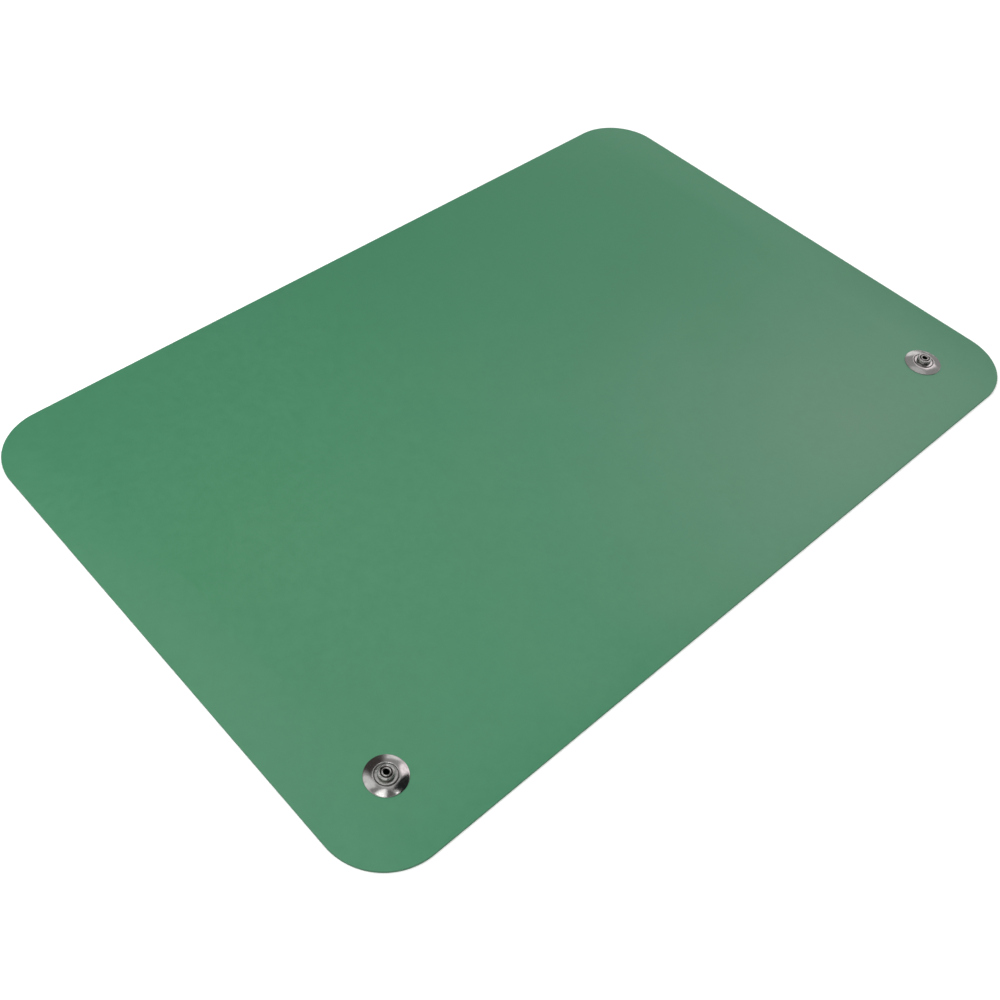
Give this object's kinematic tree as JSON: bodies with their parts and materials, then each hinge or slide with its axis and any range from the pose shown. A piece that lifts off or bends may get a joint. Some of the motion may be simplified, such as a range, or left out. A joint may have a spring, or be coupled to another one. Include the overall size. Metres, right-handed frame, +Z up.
{
  "type": "anti-static bench mat",
  "caption": "Thin flat green rubber mat, rectangular with round corners, with a snap stud on a domed metal washer near each end of its front side for an earthing lead.",
  "frame": {"origin": "middle of the mat's underside, on the bench", "axes": "+X along the long side, +Y along the short side away from the snap studs, +Z up from the bench"},
  "size_m": [0.6, 0.4, 0.0071],
  "materials": {
    "green_rubber": "satin",
    "nickel_plate": "polished"
  },
  "bodies": {
    "root": {"rubber_mat": "green_rubber", "left_contact_washer": "nickel_plate", "left_snap_stud": "nickel_plate", "left_rivet": "nickel_plate", "right_contact_washer": "nickel_plate", "right_snap_stud": "nickel_plate", "right_rivet": "nickel_plate"}
  },
  "joints": []
}
